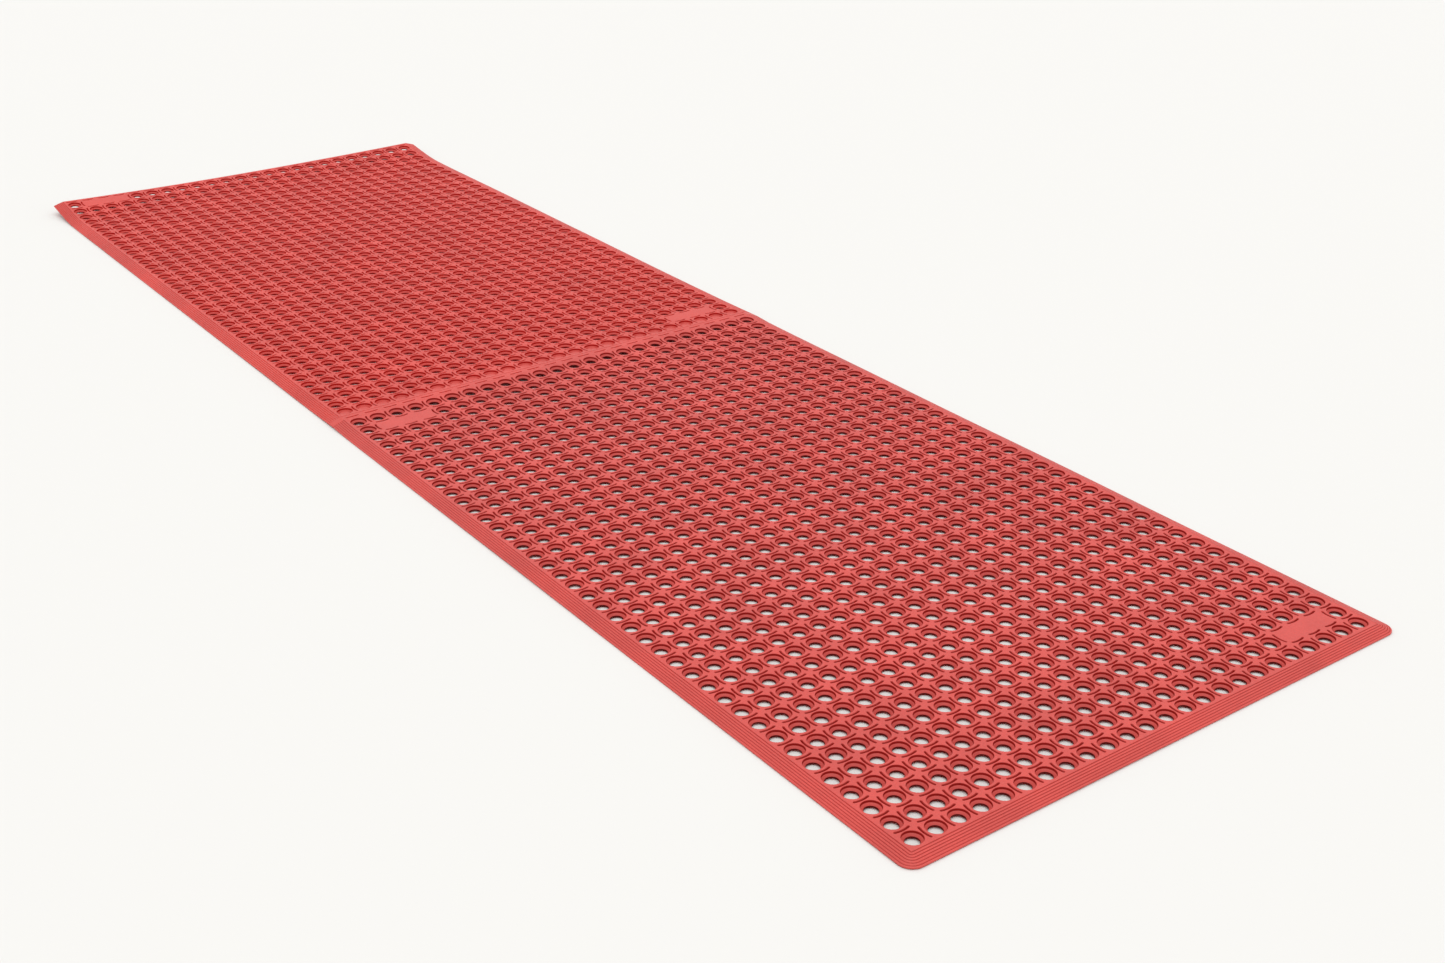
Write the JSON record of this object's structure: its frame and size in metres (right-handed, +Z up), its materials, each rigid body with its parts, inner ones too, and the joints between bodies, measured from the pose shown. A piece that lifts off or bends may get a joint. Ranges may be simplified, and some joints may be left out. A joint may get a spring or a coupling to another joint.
{
  "type": "anti fatigue mat",
  "caption": "Long perforated rubber anti fatigue mat made of sheets buttoned end to end, with ribbed border ramps and a square grid of round drainage holes.",
  "frame": {"origin": "on the floor, under the middle of the mat's bounding box", "axes": "+X across the mat, +Y along it from the front sheet to the rear sheet, +Z up"},
  "size_m": [0.9584, 3.0566, 0.0278],
  "materials": {
    "front_rubber": "matte moulded",
    "rear_rubber": "matte moulded"
  },
  "bodies": {
    "front_mat": {"front_mat": "front_rubber"},
    "rear_mat": {"rear_mat": "rear_rubber"}
  },
  "joints": [
    {"name": "rear_mat_lift_off", "type": "slide", "parent": "front_mat", "child": "rear_mat", "axis": [0, 0, 1], "range_m": [0, 0.03]}
  ]
}
